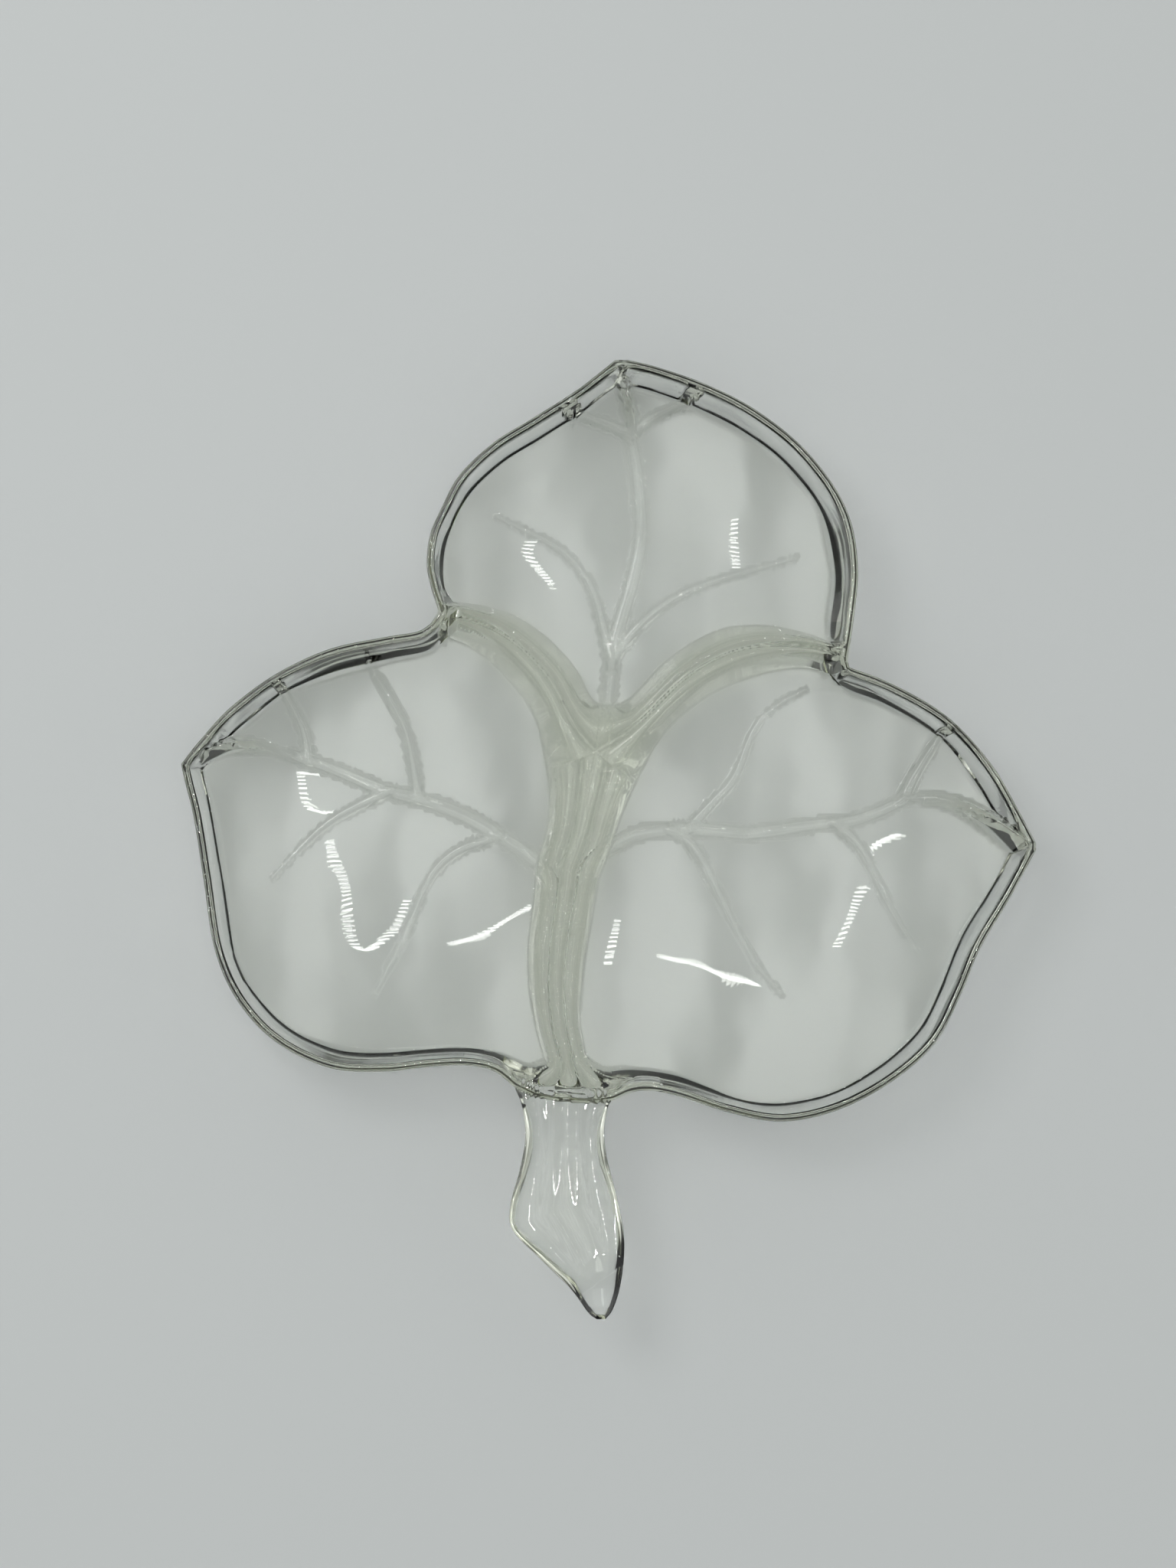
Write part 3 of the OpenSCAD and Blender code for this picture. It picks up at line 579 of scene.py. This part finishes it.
def glass_mesh(name):
    loop = whole_loop
    upper = side_points(loop, True)
    lower = side_points(loop, False)
    n = len(loop)
    _, _, edge = heights(loop)
    top, up_normals = side_surface(upper, 0)
    base, low_normals = side_surface(lower, 1)
    ahead = np.roll(loop, -1, axis=0) - np.roll(loop, 1, axis=0)
    edge_normals = np.column_stack([ahead[:, 1], -ahead[:, 0], np.zeros(n)])
    edge_normals /= np.linalg.norm(edge_normals, axis=1)[:, None]
    up_faces = triangles(loop, upper)
    low_faces = triangles(loop, lower)
    low_faces = np.where(low_faces < n, low_faces, low_faces + len(upper))[:, ::-1]
    places = np.vstack([np.column_stack([loop, edge]), np.column_stack([upper, top]),
                        np.column_stack([lower, base])])
    mesh = bpy.data.meshes.new(name)
    mesh.from_pydata(places.tolist(), [], np.vstack([up_faces, low_faces]).tolist())
    mesh.polygons.foreach_set("use_smooth", [True] * len(mesh.polygons))
    mesh.update()
    mesh.normals_split_custom_set_from_vertices(np.vstack([edge_normals, up_normals, low_normals]).tolist())
    piece = bpy.data.objects.new(name, mesh)
    bpy.context.scene.collection.objects.link(piece)
    return piece


# Glass: its colour and its refractive index, the colour that its thickness leaves and how fast, and the
# closeness, strength and height of its slow ripple
GLASS_COLOUR = (0.935, 0.945, 0.935, 1)
GLASS_INDEX = 1.51
TINT_COLOUR = (0.62, 0.68, 0.25, 1)
TINT_DENSITY = 10
RIPPLE_CLOSENESS = 40
RIPPLE_STRENGTH = 0.1
RIPPLE_H = 0.0005


def glass_material():
    """Clear pressed glass with a slow ripple and an olive tint that shows where the glass is thick."""
    material = bpy.data.materials.new("pressed_glass")
    material.use_nodes = True
    tree = material.node_tree
    glass = tree.nodes["Principled BSDF"]
    glass.inputs["Base Color"].default_value = GLASS_COLOUR
    glass.inputs["Roughness"].default_value = 0
    glass.inputs["IOR"].default_value = GLASS_INDEX
    glass.inputs["Transmission Weight"].default_value = 1
    tint = tree.nodes.new("ShaderNodeVolumeAbsorption")
    tint.inputs["Color"].default_value = TINT_COLOUR
    tint.inputs["Density"].default_value = TINT_DENSITY
    place = tree.nodes.new("ShaderNodeTexCoord")
    ripple = tree.nodes.new("ShaderNodeTexNoise")
    ripple.inputs["Scale"].default_value = RIPPLE_CLOSENESS
    ripple.inputs["Detail"].default_value = 1
    bump = tree.nodes.new("ShaderNodeBump")
    bump.inputs["Strength"].default_value = RIPPLE_STRENGTH
    bump.inputs["Distance"].default_value = RIPPLE_H
    link = tree.links.new
    link(place.outputs["Object"], ripple.inputs["Vector"])
    link(ripple.outputs["Fac"], bump.inputs["Height"])
    link(bump.outputs["Normal"], glass.inputs["Normal"])
    link(tint.outputs["Volume"], tree.nodes["Material Output"].inputs["Volume"])
    return material


dish = glass_mesh("glass_dish")
dish.data.materials.append(glass_material())
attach(dish, "root")
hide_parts(*frame["nodes"])


# Table: half its width, the gap that keeps it clear of the dish, its colour, and how matt and shiny it is
TABLE_HALF = 3.0
TABLE_GAP = 0.0002
TABLE_COLOUR = (0.52, 0.534, 0.535, 1)
TABLE_ROUGHNESS = 0.7
TABLE_SHINE = 0.2


def table_material():
    material = bpy.data.materials.new("table")
    material.use_nodes = True
    shader = material.node_tree.nodes["Principled BSDF"]
    shader.inputs["Base Color"].default_value = TABLE_COLOUR
    shader.inputs["Roughness"].default_value = TABLE_ROUGHNESS
    shader.inputs["Specular IOR Level"].default_value = TABLE_SHINE
    return material


def table():
    """The plain pale table under the dish."""
    half = TABLE_HALF
    mesh = bpy.data.meshes.new("table")
    corners = [(-half, -half, 0), (half, -half, 0), (half, half, 0), (-half, half, 0)]
    mesh.from_pydata(corners, [], [(0, 1, 2, 3)])
    mesh.materials.append(table_material())
    piece = bpy.data.objects.new("table", mesh)
    bpy.context.scene.collection.objects.link(piece)
    piece.location.z = -TABLE_GAP


def calculated(tree, operation, *inputs):
    """Output of a maths node whose inputs are numbers or outputs of other nodes."""
    node = tree.nodes.new("ShaderNodeMath")
    node.operation = operation
    for socket, item in zip(node.inputs, inputs):
        if isinstance(item, (int, float)):
            socket.default_value = item
        else:
            tree.links.new(item, socket)
    return node.outputs[0]


def ramped(tree, source, low, high, at_low, at_high):
    """Output that goes smoothly from one value to another while its source goes from low to high."""
    node = tree.nodes.new("ShaderNodeMapRange")
    node.interpolation_type = "SMOOTHSTEP"
    for name, value in (("From Min", low), ("From Max", high), ("To Min", at_low), ("To Max", at_high)):
        node.inputs[name].default_value = value
    tree.links.new(source, node.inputs["Value"])
    return node.outputs["Result"]


# Light tent: its colour, the light of the roof's dark and bright folds and of the sides at the table and
# higher up, and the share of light that its open front loses
TENT_COLOUR = (0.95, 0.975, 0.96, 1)
ROOF_LIGHT = (0.7, 2.4)
SIDE_LIGHT = (0.42, 0.85)
FRONT_LOSS = 0.75
# Parts of a direction between which the tent changes: z at the roof's edge and up the sides, y and z at
# the front
ROOF_EDGE = (0.93, 0.98)
SIDE_RISE = (0.0, 0.4)
FRONT_SIDE = (-0.75, -0.3)
FRONT_TOP = (0.35, 0.6)
# Folds of the roof: how closely they lie along x and y, and the part of the noise that shapes them
ROOF_FOLDS = (40.0, 11.0)
FOLD_NOISE = (0.36, 0.64)
# Least z of a direction when the place where it meets the roof is worked out
LEAST_RISE = 0.1


def world():
    """A white light tent: darker near the table and at its front opening, with folds in its roof."""
    made = bpy.data.worlds.new("tent")
    made.use_nodes = True
    tree = made.node_tree
    background = tree.nodes["Background"]
    background.inputs["Color"].default_value = TENT_COLOUR
    place = tree.nodes.new("ShaderNodeTexCoord")
    split = tree.nodes.new("ShaderNodeSeparateXYZ")
    tree.links.new(place.outputs["Generated"], split.inputs[0])
    x, y, z = split.outputs
    above = calculated(tree, "MAXIMUM", z, LEAST_RISE)
    fold_place = tree.nodes.new("ShaderNodeCombineXYZ")
    for axis, part, closeness in zip("XY", (x, y), ROOF_FOLDS):
        on_roof = calculated(tree, "DIVIDE", part, above)
        tree.links.new(calculated(tree, "MULTIPLY", on_roof, closeness), fold_place.inputs[axis])
    folds = tree.nodes.new("ShaderNodeTexNoise")
    folds.inputs["Scale"].default_value = 1
    folds.inputs["Detail"].default_value = 1
    tree.links.new(fold_place.outputs["Vector"], folds.inputs["Vector"])
    roof = ramped(tree, folds.outputs["Fac"], *FOLD_NOISE, *ROOF_LIGHT)
    overhead = ramped(tree, z, *ROOF_EDGE, 0.0, 1.0)
    sides = ramped(tree, z, *SIDE_RISE, *SIDE_LIGHT)
    front_side = ramped(tree, y, *FRONT_SIDE, 1.0, 0.0)
    front = calculated(tree, "MULTIPLY", front_side, ramped(tree, z, *FRONT_TOP, 1.0, 0.0))
    lost = calculated(tree, "MULTIPLY", front, FRONT_LOSS)
    sides = calculated(tree, "MULTIPLY", sides, calculated(tree, "SUBTRACT", 1.0, lost))
    roof_part = calculated(tree, "MULTIPLY", roof, overhead)
    side_part = calculated(tree, "MULTIPLY", sides, calculated(tree, "SUBTRACT", 1.0, overhead))
    tree.links.new(calculated(tree, "ADD", roof_part, side_part), background.inputs["Strength"])
    bpy.context.scene.world = made


KEY_PLACE = Vector((-0.55, 0.5, 0.9))
KEY_SIZE = 0.5
KEY_POWER = 2.5


def key_lamp():
    """A soft flat lamp at the upper left that shines at the dish."""
    data = bpy.data.lights.new("key", "AREA")
    data.shape = "RECTANGLE"
    data.size = data.size_y = KEY_SIZE
    data.energy = KEY_POWER
    piece = bpy.data.objects.new("key", data)
    piece.location = KEY_PLACE
    piece.rotation_mode = "QUATERNION"
    piece.rotation_quaternion = (-KEY_PLACE).to_track_quat("-Z", "Y")
    bpy.context.scene.collection.objects.link(piece)


# Rows of small lamps of the tent's light strips that the flat floors mirror: height, spacing, size, strength
GLINT_HEIGHT = 1.05
GLINT_STEP = 0.0026
GLINT_SIZE = (0.0055, 0.0009)
GLINT_LIGHT = 14
GLINT_LINES = [
    [(-0.152, 0.064), (-0.109, 0.056), (-0.144, 0.042), (-0.152, 0.064)],
    [(-0.137, 0.023), (-0.128, -0.001), (-0.117, -0.036), (-0.101, -0.031), (-0.092, -0.012)],
    [(-0.063, -0.036), (-0.042, -0.026), (-0.019, -0.012)],
    [(0.16, -0.036), (0.168, -0.02), (0.176, -0.004)],
    [(0.171, 0.018), (0.193, 0.029)],
    [(0.057, -0.045), (0.073, -0.05), (0.111, -0.061)],
    [(0.03, -0.023), (0.024, -0.045)],
    [(0.101, 0.213), (0.101, 0.178)],
    [(-0.016, 0.202), (-0.019, 0.191), (-0.005, 0.175)],
]
# Long light strips of the tent: spacing, size and strength of their lamps, then the middle of each strip
# and half its length along x and y
STRIP_STEP = 0.016
STRIP_SIZE = (0.01, 0.01)
STRIP_LIGHT = 160
STRIPS = [
    ((-0.42, 0.0, 0.95), (0, 0.4)),
    ((0.38, 0.0, 0.95), (0, 0.4)),
    ((0.0, 0.45, 0.9), (0.4, 0)),
    ((-0.62, 0.0, 0.45), (0, 0.4)),
    ((0.6, 0.0, 0.45), (0, 0.4)),
]


def mirrored_lamps(name, middles, size, strength):
    """Small flat lamps that the camera and matt surfaces don't see, and the glass does."""
    wide, high = size[0] / 2, size[1] / 2
    corners = [(-wide, -high), (-wide, high), (wide, high), (wide, -high)]
    spots = [(x + a, y + b, z) for x, y, z in middles for a, b in corners]
    mesh = bpy.data.meshes.new(name)
    mesh.from_pydata(spots, [], [tuple(range(4 * i, 4 * i + 4)) for i in range(len(middles))])
    material = bpy.data.materials.new(name)
    material.use_nodes = True
    shader = material.node_tree.nodes["Principled BSDF"]
    shader.inputs["Base Color"].default_value = (0, 0, 0, 1)
    shader.inputs["Emission Color"].default_value = (1, 1, 1, 1)
    shader.inputs["Emission Strength"].default_value = strength
    mesh.materials.append(material)
    piece = bpy.data.objects.new(name, mesh)
    bpy.context.scene.collection.objects.link(piece)
    piece.visible_camera = piece.visible_diffuse = piece.visible_shadow = False


def glints():
    middles = [(x, y, GLINT_HEIGHT) for line in GLINT_LINES
               for x, y in curve(np.array(line), GLINT_STEP).tolist()]
    mirrored_lamps("glints", middles, GLINT_SIZE, GLINT_LIGHT)


def strips():
    middles = []
    for (x, y, z), (reach_x, reach_y) in STRIPS:
        count = round(2 * max(reach_x, reach_y) / STRIP_STEP)
        middles += [(x + reach_x * t, y + reach_y * t, z) for t in np.linspace(-1, 1, count).tolist()]
    mirrored_lamps("light_strips", middles, STRIP_SIZE, STRIP_LIGHT)


# Camera: where it stood, what its middle pointed at, half the picture's long side and the focal length in
# pixels, and the sensor's width in millimetres
CAMERA_PLACE = Vector((-0.02471, -0.02447, 0.99901))
CAMERA_AIM = Vector((-0.005532, 0.015652, 0))
HALF_LONG_SIDE = 1024
FOCAL_LENGTH = 4583.81
SENSOR_W = 36


def camera():
    data = bpy.data.cameras.new("camera")
    data.sensor_fit = "AUTO"
    data.sensor_width = SENSOR_W
    data.lens = SENSOR_W / 2 * FOCAL_LENGTH / HALF_LONG_SIDE
    piece = bpy.data.objects.new("camera", data)
    bpy.context.scene.collection.objects.link(piece)
    look = (CAMERA_AIM - CAMERA_PLACE).normalized()
    right = (Vector((1, 0, 0)) - look * look.x).normalized()
    up = right.cross(look)
    piece.matrix_world = Matrix.Translation(CAMERA_PLACE) @ Matrix((right, up, -look)).transposed().to_4x4()
    bpy.context.scene.camera = piece


table()
world()
key_lamp()
glints()
strips()
camera()
bpy.context.scene.view_settings.view_transform = "Standard"
